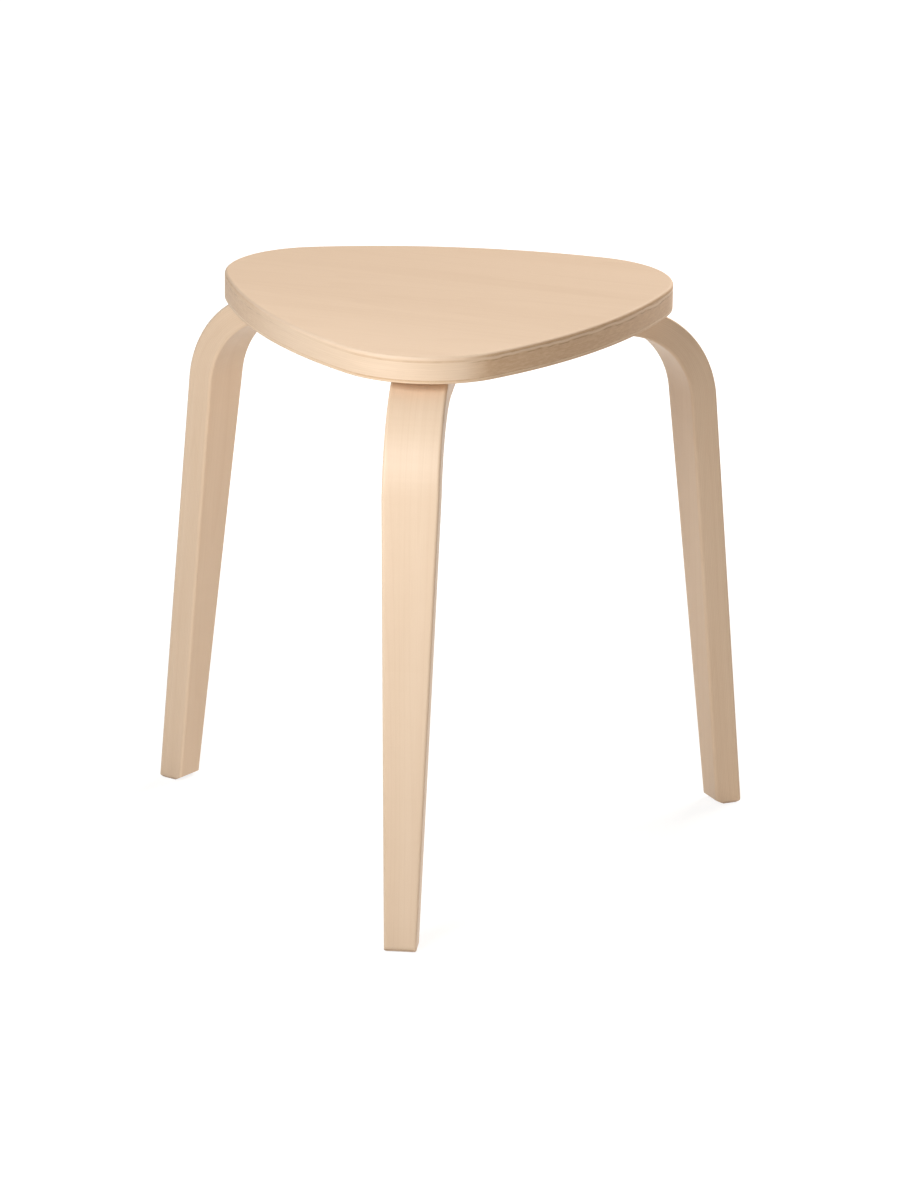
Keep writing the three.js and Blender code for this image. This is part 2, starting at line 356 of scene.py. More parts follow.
colour = blend(long_grain, total, given["Sapwood"], given["Latewood"])
give(long_grain, out, Colour=colour, Height=sums(long_grain, "SUBTRACT", fibres, pores), Dry=pores)

# End grain: pores cut across, denser in some layers than in others
cloud_size = (0.01, 0.006, 0.0016)
cloud_levels = (0.3, 0.7)
speck_size = (0.0006, 0.0004, 0.0003)
speck_levels = (0.5, 0.72)
end_grain, given, out = new_group(
    "birch_end_grain",
    {"Place": (VECTOR, (0, 0, 0)), "Sapwood": (COLOUR, white), "Latewood": (COLOUR, white)},
    {"Colour": COLOUR, "Height": NUMBER},
)
cloud = marks(end_grain, given["Place"], cloud_size, cloud_levels)
specks = marks(end_grain, given["Place"], speck_size, speck_levels, detail=1.5, roughness=0.7)
average = product(end_grain, sums(end_grain, "ADD", cloud, specks), 0.5)
colour = blend(end_grain, average, given["Sapwood"], given["Latewood"])
give(end_grain, out, Colour=colour, Height=sums(end_grain, "SUBTRACT", 1.0, specks))

# Sawn veneer edges, in a place whose Z runs across the veneers: fine streaks, slow waves and short dashes
streak_size = (0.028, 0.028, 0.00035)
streak_levels = (0.3, 0.72)
wave_size = (0.024, 0.024, 0.0016)
wave_levels = (0.42, 0.75)
dash_size = (0.011, 0.011, 0.006)
dash_levels = (0.4, 0.6)
sawn_edge, given, out = new_group(
    "birch_sawn_edge",
    {"Place": (VECTOR, (0, 0, 0))},
    {"Streaks": NUMBER, "Waves": NUMBER, "Dashes": NUMBER},
)
streaks = marks(sawn_edge, given["Place"], streak_size, streak_levels, detail=3.0, roughness=0.62)
waves = marks(sawn_edge, given["Place"], wave_size, wave_levels, distortion=0.6)
dashes = marks(sawn_edge, given["Place"], dash_size, dash_levels, detail=1.0)
give(sawn_edge, out, Streaks=streaks, Waves=waves, Dashes=dashes)

# Veneers: how close a depth lies to a glue line, and how dark each veneer is
veneers, given, out = new_group(
    "veneer_stack",
    {"Depth": (NUMBER, 0.0), "Veneer": (NUMBER, 0.0015), "Glue": (NUMBER, 0.0001)},
    {"Line": NUMBER, "Tone": NUMBER},
)
stacked = sums(veneers, "DIVIDE", given["Depth"], given["Veneer"])
within = sums(veneers, "FRACT", stacked)
nearer = sums(veneers, "MINIMUM", within, sums(veneers, "SUBTRACT", 1.0, within))
line = ramp(veneers, product(veneers, nearer, given["Veneer"]), 0.0, given["Glue"], 1.0, 0.0)
number = sums(veneers, "FLOOR", stacked)
tone = put(veneers, "ShaderNodeTexWhiteNoise", {"W": number}, noise_dimensions="1D").outputs["Value"]
give(veneers, out, Line=line, Tone=tone)

dry_roughness = 0.12
grain_relief = 0.04 * mm
grain_strength = 0.6


def lacquered(name, colour_of, roughness=0.46, coat=0.12, coat_roughness=0.34):
    """A wood under satin lacquer. colour_of builds its colour, height and dryness in the material's tree."""
    material = bpy.data.materials.new(name)
    material.use_nodes = True
    tree = material.node_tree
    shader = tree.nodes["Principled BSDF"]
    colour, height, dry = colour_of(tree)
    tree.links.new(colour, shader.inputs["Base Color"])
    rough = sums(tree, "ADD", product(tree, dry, dry_roughness), roughness)
    tree.links.new(rough, shader.inputs["Roughness"])
    relief = {"Height": height, "Distance": grain_relief, "Strength": grain_strength}
    tree.links.new(put(tree, "ShaderNodeBump", relief).outputs[0], shader.inputs["Normal"])
    shader.inputs["Coat Weight"].default_value = coat
    shader.inputs["Coat Roughness"].default_value = coat_roughness
    return material


def own_place(tree):
    """A point's place in the frame of the piece that it is on."""
    return put(tree, "ShaderNodeTexCoord").outputs["Object"]


def dot(tree, first, second):
    """How far one vector reaches along another."""
    return put(tree, "ShaderNodeVectorMath", {0: first, 1: second}, operation="DOT_PRODUCT").outputs["Value"]


def turned_place(tree, along, across):
    """The piece's own place, turned so that X runs along a fibre direction given in the floor plan."""
    parts = [dot(tree, own_place(tree), direction) for direction in (along, across, (0, 0, 1))]
    return put(tree, "ShaderNodeCombineXYZ", dict(enumerate(parts))).outputs[0]


def depth_below(tree, top):
    """How far a point lies below a height."""
    height = put(tree, "ShaderNodeSeparateXYZ", {0: own_place(tree)}).outputs["Z"]
    return sums(tree, "SUBTRACT", top, height)


core_turn = math.radians(-15)
along_core = (math.cos(core_turn), math.sin(core_turn), 0)
across_core = (-math.sin(core_turn), math.cos(core_turn), 0)
core_sapwood = paint(231, 204, 176)
core_latewood = paint(206, 174, 142)
end_sapwood = paint(224, 192, 157)
end_latewood = paint(197, 158, 120)
# Brown of the glue lines. At the seams between the seat's plies it also stands for painted shade of the fine
# groove there.
glue_and_seam_shade_brown = paint(158, 122, 90)
core_veneer = 1.55 * mm
core_glue = 0.22 * mm
crossband_turn = math.radians(-7)
across_crossband = (math.cos(crossband_turn), math.sin(crossband_turn), 0)
crossband_top = 0.35 * mm
crossband_bottom = 1.95 * mm
crossband_blur = 0.4 * mm
crossband_cover = 0.6
stain_cover = 0.06
dash_stain_cover = 0.16
sway_size = (0.02, 0.02, 0.05)
noise_middle = 0.5
grain_sway = 4.5 * mm
wavy_line_depth = 2.9 * mm
wavy_line_half = 0.6 * mm
wavy_line_cover = 0.7
end_wave_cover = 0.28
end_streak_cover = 0.38
core_streak_cover = 0.3
core_tone_cover = 0.1
core_glue_cover = 0.06

# An edge that faces a direction squarely has a share of 1. Its look changes between two such shares, along
# the core's fibres, across the crosswise veneer's, and along the core's at the left corner
end_grain_shares = (0.61, 0.88)
crossband_shares = (0.46, 0.8)
left_corner_shares = (-0.75, -0.5)


def band(tree, value, start, end, blur):
    """1 while the value lies between a start and an end, eased over a blur on both sides of each."""
    entered = ramp(tree, value, start - blur, start + blur)
    return product(tree, entered, ramp(tree, value, end - blur, end + blur, 1.0, 0.0))


def veneer_ends(tree, crosswise=0.0):
    """1 where a veneer's edge shows end grain. A veneer lies along the core's fibres, or crosswise at 1."""
    normal = put(tree, "ShaderNodeTexCoord").outputs["Normal"]
    cut_square = sums(tree, "ABSOLUTE", dot(tree, normal, along_core))
    cut_along = sums(tree, "ABSOLUTE", dot(tree, normal, across_crossband))
    ends = ramp(tree, cut_square, *end_grain_shares)
    crosswise_ends = ramp(tree, cut_along, *crossband_shares, 1.0, 0.0)
    inputs = {0: crosswise, 2: ends, 3: crosswise_ends}
    return put(tree, "ShaderNodeMix", inputs, data_type="FLOAT").outputs[0]


def layers_show(tree):
    """1 where the seat's layers can be told apart, and 0 at the left corner, which is sanded smoother."""
    normal = put(tree, "ShaderNodeTexCoord").outputs["Normal"]
    return ramp(tree, dot(tree, normal, along_core), *left_corner_shares)


def seat_end_colour(tree, edge):
    """The wavy end grain of the seat's veneers."""
    ends = use_group(tree, end_grain, Place=own_place(tree), Sapwood=end_sapwood, Latewood=end_latewood)
    wavy = product(tree, edge["Waves"], end_wave_cover)
    streaked = product(tree, edge["Streaks"], end_streak_cover)
    return blend(tree, sums(tree, "ADD", wavy, streaked), ends["Colour"], end_latewood)


def core_colour(tree):
    """Smooth where the edge runs along the fibres, wavy end grain where it cuts them. The first veneer lies
    crosswise, and below it a wavy, broken dark line goes with the end grain."""
    depth = depth_below(tree, core_top)
    edge = use_group(tree, sawn_edge, Place=own_place(tree))
    sway = sums(tree, "SUBTRACT", noise(tree, own_place(tree), sway_size), noise_middle)
    swayed = sums(tree, "ADD", depth, product(tree, sway, veneer_ends(tree), grain_sway))
    banded = band(tree, swayed, crossband_top, crossband_bottom, crossband_blur)
    in_crossband = product(tree, banded, layers_show(tree))
    smooth = blend(tree, product(tree, edge["Streaks"], core_streak_cover), core_sapwood, core_latewood)
    cover = ramp(tree, in_crossband, 0.0, 1.0, 1.0, crossband_cover)
    cut = product(tree, veneer_ends(tree, in_crossband), cover)
    layered = blend(tree, cut, smooth, seat_end_colour(tree, edge))
    stained = sums(tree, "ADD", product(tree, edge["Dashes"], dash_stain_cover), stain_cover)
    shaded = blend(tree, product(tree, cut, in_crossband, stained), layered, glue_and_seam_shade_brown)
    stack = use_group(tree, veneers, Depth=depth, Veneer=core_veneer, Glue=core_glue)
    toned = blend(tree, product(tree, stack["Tone"], core_tone_cover), shaded, core_latewood)
    lined = blend(tree, product(tree, stack["Line"], core_glue_cover), toned, glue_and_seam_shade_brown)
    from_line = sums(tree, "ABSOLUTE", sums(tree, "SUBTRACT", swayed, wavy_line_depth))
    wavy_line = ramp(tree, from_line, 0.0, wavy_line_half, wavy_line_cover, 0.0)
    broken_line = product(tree, wavy_line, veneer_ends(tree), edge["Dashes"])
    dashed = blend(tree, broken_line, lined, glue_and_seam_shade_brown)
    return dashed, edge["Streaks"], stack["Line"]


core.data.materials.append(lacquered("birch_core_edge", core_colour, roughness=0.5))
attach(core, "root")
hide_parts("seat_core")


# Face ply: the upper skin of the seat, birch veneer pressed onto the core with its fibres the same way
# as the core's. Its upper edge is rounded over. The dark line under it, at the seam with the core, is
# the glue line with painted shade of the seam's fine groove, and shows darkest where the edge of the
# seat cuts the fibres.

face_round = 2.2 * mm
face_thickness = seat_high.z - seat_low.z
# The dark line at the bottom of the face ply is the glue line together with painted shade of the seam under
# it.
face_joint_depth = 0.6 * mm
face_seam_glue_and_shade_cover = 0.6
face_side_start = 0.3 * face_round
face_side_full = 0.8 * face_round
face_streak_cover = 0.2
face_sapwood = paint(235, 208, 181)
face_latewood = paint(215, 182, 150)

face = loft("seat_face_skin", layer_rings(seat_low.z, seat_high.z, joint_round, face_round))
finish_shape(face)


def face_colour(tree):
    """Long grain on top, streaks and end grain down the rounded edge, and above the joint a line of glue and
    painted shade.
    """
    grain = use_group(
        tree, long_grain, Place=turned_place(tree, along_core, across_core), Sapwood=face_sapwood,
        Latewood=face_latewood, Bands=0.12, Growth=0.08, Fibres=0.12, Pores=0.2,
    )
    depth = depth_below(tree, seat_high.z)
    edge = use_group(tree, sawn_edge, Place=own_place(tree))
    on_edge = ramp(tree, depth, face_side_start, face_side_full)
    streaks_shown = product(tree, edge["Streaks"], on_edge, face_streak_cover)
    streaked = blend(tree, streaks_shown, grain["Colour"], face_latewood)
    cut = product(tree, veneer_ends(tree), on_edge)
    sided = blend(tree, cut, streaked, seat_end_colour(tree, edge))
    # Painted shade: the seam between face ply and core is darkened along with its glue line.
    joint = ramp(tree, depth, face_thickness - face_joint_depth, face_thickness)
    seam_glue_and_shade_shown = product(tree, joint, cut, layers_show(tree), face_seam_glue_and_shade_cover)
    return blend(tree, seam_glue_and_shade_shown, sided, glue_and_seam_shade_brown), grain["Height"], grain["Dry"]


face_wood = lacquered("birch_face_veneer", face_colour, roughness=0.62, coat=0.04, coat_roughness=0.5)
face.data.materials.append(face_wood)
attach(face, "root")
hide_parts("seat_face_ply")


# Back ply: the lower skin of the seat, two thin birch veneers with the upper one crosswise, its sharp
# edge just broken. Six stepped holes in it let the inserts through and sink their flanges flush.

back_round = 1.0 * mm
flange_hole_radius = 6.8 * mm
flange_hole_depth = 1.4 * mm
back_low, back_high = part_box("seat_back_ply")
back_top = core_bottom - joint_gap
back_crossband = 1.35 * mm
# The dark line at the back ply's top is the glue line together with painted shade of the seam above it.
back_joint_depth = 0.3 * mm
back_seam_glue_and_shade_cover = 0.2
back_sapwood = paint(232, 204, 173)
back_latewood = paint(208, 173, 138)

back = loft("seat_back_skin", layer_rings(back_low.z, back_top, back_round, joint_round))
step_profile = [
    (0, back_low.z - drill_overrun),
    (flange_hole_radius, back_low.z - drill_overrun),
    (flange_hole_radius, back_low.z + flange_hole_depth),
    (insert_hole_radius, back_low.z + flange_hole_depth),
    (insert_hole_radius, back_high.z + drill_overrun),
    (0, back_high.z + drill_overrun),
]
drill(back, [turned("back_drill", step_profile, hole_steps, point) for point in bolt_points])


def back_colour(tree):
    """Long grain below, end grain where the edge cuts either veneer, and at the joint a line of glue and
    painted shade.
    """
    grain = use_group(
        tree, long_grain, Place=turned_place(tree, along_core, across_core), Sapwood=back_sapwood,
        Latewood=back_latewood, Bands=0.26, Growth=0.2, Fibres=0.16, Pores=0.3,
    )
    depth = depth_below(tree, back_top)
    edge = use_group(tree, sawn_edge, Place=own_place(tree))
    in_crossband = band(tree, depth, -back_crossband, back_crossband, crossband_blur)
    sided = blend(tree, veneer_ends(tree, in_crossband), grain["Colour"], seat_end_colour(tree, edge))
    # Painted shade: the seam between core and back ply is darkened along with its glue line.
    joint = ramp(tree, depth, 0.0, back_joint_depth, back_seam_glue_and_shade_cover, 0.0)
    return blend(tree, joint, sided, glue_and_seam_shade_brown), grain["Height"], grain["Dry"]


back.data.materials.append(lacquered("birch_back_veneer", back_colour, roughness=0.5))
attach(back, "root")
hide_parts("seat_back_ply")


# Threaded inserts: six yellow-plated steel sleeves with a flange and a coarse outer thread, screwed up
# into the core so that the flange lies flush with the seat's underside. They take the M6 bolts.

insert_bore = 3.15 * mm
insert_sleeve = 4.1 * mm
insert_ridge = 0.65 * mm
insert_pitch = 2.5 * mm
insert_flange_radius = 6.6 * mm
insert_flange = 1.2 * mm
insert_length = insert_high.z - insert_low.z
insert_chamfer = 0.5 * mm
flange_edge = 0.3 * mm
insert_turn_steps = 40
thread_rows_per_turn = 12
mottle_size = (0.004, 0.004, 0.004)
mottle_levels = (0.32, 0.7)
mottle_dullness = 0.14
speckle_size = (0.0003, 0.0003, 0.0003)
speckle_dullness = 0.08
turning_mark_size = (0.002, 0.002, 0.00012)
turning_mark_relief = 0.02 * mm
turning_mark_strength = 0.5


def thread(start, length, pitch, root, ridge):
    """Profile rows of a thread that rises from its root, and falls back to it, within one turn."""
    count = math.ceil(length / pitch * thread_rows_per_turn)
    rows = []
    for i in range(count + 1):
        along = length * i / count
        rise = min(1, along / pitch, (length - along) / pitch)
        rows.append((root, start + along, ridge * rise))
    return rows


def share_mesh(pattern, name, place, turn):
    """Another piece with the same mesh, standing on a place and turned about its own upright axis."""
    piece = bpy.data.objects.new(name, pattern.data)
    piece.matrix_world = Matrix.Translation(place) @ Matrix.Rotation(turn, 4, "Z")
    bpy.context.scene.collection.objects.link(piece)
    return piece


def set_at_bolts(pattern, kind, node_kind, height):
    """Puts a copy of a small steel piece at each bolt, in place of its CAD node."""
    for leg, turn in leg_turns.items():
        for place in bolt_places:
            piece = share_mesh(pattern, f"{kind}_{leg}_{place}", at_bolt(leg, place, height), turn)
            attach(piece, "root")
            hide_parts(f"{node_kind}_{leg}_{place}")
    bpy.data.objects.remove(pattern)


def plated_steel(name, pale, dark, roughness):
    """Plated steel: a mottled coat with fine turning marks, and duller where it is darker."""
    material = bpy.data.materials.new(name)
    material.use_nodes = True
    tree = material.node_tree
    shader = tree.nodes["Principled BSDF"]
    mottle = marks(tree, own_place(tree), mottle_size, mottle_levels, detail=3.0, roughness=0.6)
    speckle = noise(tree, own_place(tree), speckle_size)
    tree.links.new(blend(tree, mottle, pale, dark), shader.inputs["Base Color"])
    duller = product(tree, mottle, mottle_dullness)
    speckled = product(tree, speckle, speckle_dullness)
    rough = sums(tree, "ADD", sums(tree, "ADD", duller, speckled), roughness)
    tree.links.new(rough, shader.inputs["Roughness"])
    turning_marks = noise(tree, own_place(tree), turning_mark_size, detail=1.0)
    relief = {"Height": turning_marks, "Distance": turning_mark_relief, "Strength": turning_mark_strength}
    tree.links.new(put(tree, "ShaderNodeBump", relief).outputs[0], shader.inputs["Normal"])
    shader.inputs["Metallic"].default_value = 1.0
    return material


insert_pattern = turned(
    "insert_pattern",
    [
        (insert_bore, flange_edge),
        (insert_bore + flange_edge, 0),
        (insert_flange_radius - flange_edge, 0),
        (insert_flange_radius, flange_edge),
        (insert_flange_radius, insert_flange - flange_edge),
        (insert_flange_radius - flange_edge, insert_flange),
        (insert_sleeve, insert_flange),
        *thread(
            insert_flange + insert_chamfer, insert_length - insert_flange - 3 * insert_chamfer,
            insert_pitch, insert_sleeve, insert_ridge,
        ),
        (insert_sleeve, insert_length - insert_chamfer),
        (insert_sleeve - insert_chamfer, insert_length),
        (insert_bore, insert_length),
    ],
    insert_turn_steps,
    pitch=insert_pitch,
)
finish_shape(insert_pattern)
yellow_plate = plated_steel("yellow_plated_steel", paint(214, 190, 132), paint(186, 164, 118), 0.3)
insert_pattern.data.materials.append(yellow_plate)
set_at_bolts(insert_pattern, "threaded_insert", "insert", insert_low.z)


# Legs: three identical legs, each glued up from long birch veneers and bent hot in a mould. A flat
# tongue is bolted under the seat, curves over outside its corner and tapers down to the foot, which is
# cut flat to the floor with its inner edge bevelled. All arrises are rounded and lacquered.

leg_low, leg_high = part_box("leg_front")
leg_width = leg_high.x - leg_low.x
leg_thickness = 22.5 * mm
foot_width = 25 * mm
# The solids' curves have flats, so the finer ones here are drawn in by a hair to stay inside them
facet_allowance = 0.05 * mm
foot_reach = 269 * mm - facet_allowance
splay = math.radians(6)
bend_outer_radius = 87.5 * mm
leg_arris = 2.5 * mm
tongue_top = leg_high.z
tongue_bottom = tongue_top - leg_thickness
tongue_end_reach = axis.y - leg_high.y
tongue_corner = 9 * mm
bend_height = tongue_top - bend_outer_radius
bend_reach = foot_reach - bend_height * math.tan(splay) - bend_outer_radius / math.cos(splay)
taper_height = bend_height + bend_outer_radius * math.sin(splay)
foot_overrun = 12 * mm
taper_steps = 40
bend_steps = 72
tongue_end_steps = 10
arris_steps = 7
arris_support = 0.25 * mm


def leg_section(width):
    """Points round a leg's section, as (across, depth below the outer face), with rounded arrises."""
    across = width / 2 - leg_arris
    deep = leg_thickness - leg_arris
    corners = ((across, deep), (-across, deep), (-across, leg_arris), (across, leg_arris))
    points = []
    for quarter, corner in enumerate(corners):
        start = quarter * math.pi / 2
        arriving = Vector((math.cos(start), math.sin(start)))
        leaving = Vector((-arriving.y, arriving.x))
        centre = Vector(corner)
        points.append(centre + leg_arris * arriving - arris_support * leaving)
        for i in range(arris_steps + 1):
            turn = start + i / arris_steps * math.pi / 2
            points.append(centre + leg_arris * Vector((math.cos(turn), math.sin(turn))))
        points.append(centre + leg_arris * leaving - arris_support * arriving)
    return points


def leg_ring(reach, height, tilt, width):
    """One section of the leg, with its outer face at a reach and height, facing up by a tilt."""
    return [
        Vector((reach - depth * math.cos(tilt), across, height - depth * math.sin(tilt)))
        for across, depth in leg_section(width)
    ]


leg_rings = []
for i in range(taper_steps):
    share = i / taper_steps
    height = -foot_overrun + share * (taper_height + foot_overrun)
    width = foot_width + (leg_width - foot_width) * height / taper_height
    leg_rings.append(leg_ring(foot_reach - height * math.tan(splay), height, splay, width))
for i in range(bend_steps + 1):
    tilt = splay + (math.pi / 2 - splay) * i / bend_steps
    reach = bend_reach + bend_outer_radius * math.cos(tilt)
    height = bend_height + bend_outer_radius * math.sin(tilt)
    leg_rings.append(leg_ring(reach, height, tilt, leg_width))
for i in range(tongue_end_steps + 1):
    turn = i / tongue_end_steps * math.pi / 2
    reach = tongue_end_reach + tongue_corner * (1 - math.sin(turn))
    width = leg_width - 2 * tongue_corner * (1 - math.cos(turn))
    leg_rings.append(leg_ring(reach, tongue_top, math.pi / 2, width))
leg_pattern = loft("leg_pattern", leg_rings)

# The foot is trimmed by planes: the floor, the inner bevel, both side chamfers and the outer round
bevel_run = 7 * mm
bevel_rise = 3.6 * mm
outer_round = 5.2 * mm
side_chamfer = 2 * mm
round_cuts = 9
weld_distance = 1e-7
bevel_start = foot_reach - leg_thickness / math.cos(splay) + bevel_run
foot_cuts = [
    (Vector((foot_reach, 0, 0)), Vector((0, 0, -1))),
    (Vector((bevel_start, 0, 0)), Vector((-bevel_rise, 0, -bevel_run))),
    (Vector((0, foot_width / 2 - side_chamfer, 0)), Vector((0, 1, -1))),
    (Vector((0, side_chamfer - foot_width / 2, 0)), Vector((0, -1, -1))),
]
round_run = outer_round * (1 + math.sin(splay)) / math.cos(splay)
round_centre = Vector((foot_reach - round_run, 0, outer_round))
for i in range(round_cuts):
    turn = (i + 0.5) / round_cuts * (math.pi / 2 + splay)
    outward = Vector((math.sin(turn), 0, -math.cos(turn)))
    foot_cuts.append((round_centre + outer_round * outward, outward))

mesh = bmesh.new()
mesh.from_mesh(leg_pattern.data)
for point, outward in foot_cuts:
    everything = mesh.verts[:] + mesh.edges[:] + mesh.faces[:]
    sawn = bmesh.ops.bisect_plane(
        mesh, geom=everything, dist=weld_distance, plane_co=point, plane_no=outward, clear_outer=True,
    )
    rim = [item for item in sawn["geom_cut"] if isinstance(item, bmesh.types.BMEdge)]
    bmesh.ops.holes_fill(mesh, edges=rim, sides=0)
mesh.to_mesh(leg_pattern.data)
mesh.free()

# Two bolt holes through the tongue, with counterbores and broken edges at the mouth
shank_hole = 3.4 * mm
counterbore = 7.2 * mm
counterbore_depth = 6.8 * mm
mouth_chamfer = 0.5 * mm
drill_profile = [
    (0, tongue_bottom - drill_overrun),
    (counterbore + mouth_chamfer + drill_overrun, tongue_bottom - drill_overrun),
    (counterbore, tongue_bottom + mouth_chamfer),
    (counterbore, tongue_bottom + counterbore_depth),
    (shank_hole, tongue_bottom + counterbore_depth),
    (shank_hole, tongue_top + drill_overrun),
    (0, tongue_top + drill_overrun),
]
broken_edges = {"width": 0.35 * mm, "segments": 2, "limit_method": "ANGLE", "angle_limit": math.radians(28)}
drill_points = [Vector((reach, 0, 0)) for reach in bolt_reaches.values()]
drills = [turned("leg_drill", drill_profile, hole_steps, point) for point in drill_points]
drill(leg_pattern, drills, ("BEVEL", broken_edges))

# Every point of the leg learns its place in the wood: along the fibres, across, and depth from outside
straight_length = taper_height / math.cos(splay)
middle_radius = bend_outer_radius - leg_thickness / 2
bend_length = (math.pi / 2 - splay) * middle_radius


def wood_place(point):
    """A point's place in the straight veneers that the leg was bent from."""
    reach = point.x - bend_reach
    height = point.z - bend_height
    tilt = math.atan2(height, reach)
    if reach < 0 and height > 0:
        return straight_length + bend_length - reach, point.y, tongue_top - point.z
    if tilt > splay:
        depth = bend_outer_radius - math.hypot(reach, height)
        return straight_length + (tilt - splay) * middle_radius, point.y, depth
    from_foot = Vector((point.x - foot_reach, point.z))
    along = from_foot.dot(Vector((-math.sin(splay), math.cos(splay))))
    depth = -from_foot.dot(Vector((math.cos(splay), math.sin(splay))))
    return along, point.y, depth


wood = leg_pattern.data.attributes.new("wood", "FLOAT_VECTOR", "POINT")
for vertex, item in zip(leg_pattern.data.vertices, wood.data):
    item.vector = wood_place(vertex.co)

leg_veneer = 1.5 * mm
leg_glue = 0.12 * mm
leg_skin = 0.4 * mm
leg_sapwood = paint(235, 208, 180)
leg_latewood = paint(214, 181, 147)
leg_end_sapwood = paint(224, 194, 164)
leg_end_latewood = paint(196, 160, 124)
leg_tone_cover = 0.1
leg_glue_cover = 0.2
leg_end_glue_cover = 0.3
leg_log_length = 0.71
leg_log_shift = 0.1


def wood_of(tree):
    """A point's place in the wood, as the mesh holds it."""
    return put(tree, "ShaderNodeAttribute", attribute_name=wood.name).outputs["Vector"]


def leg_veneers(tree):
    """The leg's veneers, and a point's depth in them from the outer face."""
    depth = put(tree, "ShaderNodeSeparateXYZ", {0: wood_of(tree)}).outputs["Z"]
    return use_group(tree, veneers, Depth=depth, Veneer=leg_veneer, Glue=leg_glue), depth


def leg_colour(tree, offset):
    """One leg's wood, cut a distance further along the log than the last leg's."""
    from_log = (offset, leg_log_shift * offset, 0)
    place = put(tree, "ShaderNodeVectorMath", {0: wood_of(tree), 1: from_log}, operation="ADD").outputs[0]
    grain = use_group(
        tree, long_grain, Place=place, Sapwood=leg_sapwood, Latewood=leg_latewood,
        Bands=0.16, Growth=0.1, Fibres=0.13, Pores=0.2,
    )
    stack, depth = leg_veneers(tree)
    toned = blend(tree, product(tree, stack["Tone"], leg_tone_cover), grain["Colour"], leg_latewood)
    under_skin = ramp(tree, depth, leg_skin, 3 * leg_skin)
    above_back = ramp(tree, depth, leg_thickness - 3 * leg_skin, leg_thickness - leg_skin, 1.0, 0.0)
    glue_shown = product(tree, stack["Line"], under_skin, above_back, leg_glue_cover)
    return blend(tree, glue_shown, toned, glue_and_seam_shade_brown), grain["Height"], grain["Dry"]


def cut_end_colour(tree):
    """End grain, where the foot and the tongue's end are sawn and sanded."""
    stack, depth = leg_veneers(tree)
    ends = use_group(
        tree, end_grain, Place=wood_of(tree), Sapwood=leg_end_sapwood, Latewood=leg_end_latewood,
    )
    lined = blend(tree, product(tree, stack["Line"], leg_end_glue_cover), ends["Colour"], glue_and_seam_shade_brown)
    return lined, ends["Height"], stack["Line"]


# Each leg puts wood of its own in the first of the two material places
cut_ends = lacquered("birch_cut_end", cut_end_colour, roughness=0.55)
along_fibres = Vector((-math.sin(splay), 0, math.cos(splay)))
end_grain_lean = 0.5
leg_pattern.data.materials.append(cut_ends)
leg_pattern.data.materials.append(cut_ends)
for skin in leg_pattern.data.polygons:
    near_floor = skin.center.z < outer_round + bevel_rise
    sawn_foot = near_floor and abs(skin.normal.dot(along_fibres)) > end_grain_lean
    sawn_tongue = skin.center.x < tongue_end_reach + tongue_corner and -skin.normal.x > end_grain_lean
    skin.material_index = 1 if sawn_foot or sawn_tongue else 0

for number, (leg, turn) in enumerate(leg_turns.items()):
    piece = bpy.data.objects.new(f"bent_leg_{leg}", leg_pattern.data.copy())
    piece.data.transform(Matrix.Translation(axis) @ Matrix.Rotation(turn, 4, "Z"))
    one_log = partial(leg_colour, offset=number * leg_log_length)
    piece.data.materials[0] = lacquered(f"birch_leg_{leg}", one_log)
    bpy.context.scene.collection.objects.link(piece)
    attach(piece, "root")
    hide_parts(f"leg_{leg}")
bpy.data.objects.remove(leg_pattern)


# Washers: six flat zinc-plated washers at the top of the counterbores, stamped out of sheet, so that
# their rims are slightly rounded.

washer_low, washer_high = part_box("washer_front_outer")
washer_radius = (washer_high.x - washer_low.x) / 2
washer_thickness = washer_high.z - washer_low.z
washer_hole = 3.25 * mm
washer_edge = 0.3 * mm
washer_steps = 64
rim_steps = 4
zinc_plate = plated_steel("zinc_plated_steel", paint(196, 200, 204), paint(168, 172, 178), 0.24)


def rim_round(radius, height, edge, start):
    """Profile points of a quarter round about a centre, from a start angle that is 0 pointing outwards."""
    turns = [start + i / rim_steps * math.pi / 2 for i in range(rim_steps + 1)]
    return [(radius + edge * math.cos(turn), height + edge * math.sin(turn)) for turn in turns]


washer_pattern = turned(
    "washer_pattern",
    [
        *rim_round(washer_radius - washer_edge, washer_edge, washer_edge, -math.pi / 2),
        *rim_round(washer_radius - washer_edge, washer_thickness - washer_edge, washer_edge, 0),
        *rim_round(washer_hole + washer_edge, washer_thickness - washer_edge, washer_edge, math.pi / 2),
        *rim_round(washer_hole + washer_edge, washer_edge, washer_edge, math.pi),
    ],
    washer_steps,
)
finish_shape(washer_pattern)
washer_pattern.data.materials.append(zinc_plate)
set_at_bolts(washer_pattern, "flat_washer", "washer", washer_low.z)


# Bolts: six M6 button-head bolts with hexagon sockets, two in line up through each tongue into the
# inserts. The head is turned, the socket pressed in and the thread rolled, then all is zinc-plated.

bolt_low, bolt_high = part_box("bolt_front_outer")
head_radius = (bolt_high.x - bolt_low.x) / 2
head_height = 3.3 * mm
head_rim = 1.1 * mm
head_edge = 0.2 * mm
head_flat = 3.1 * mm
head_steps = 12
bolt_length = bolt_high.z - bolt_low.z
thread_root = 2.5 * mm
thread_ridge = 0.5 * mm
thread_pitch = 1.0 * mm
plain_shank = 1.0 * mm
tip_chamfer = 0.8 * mm
socket_sides = 6
socket_flats = 4.0 * mm
socket_depth = 2.1 * mm
socket_point = 0.6 * mm
socket_overrun = 2.0 * mm
bolt_turn_steps = 48

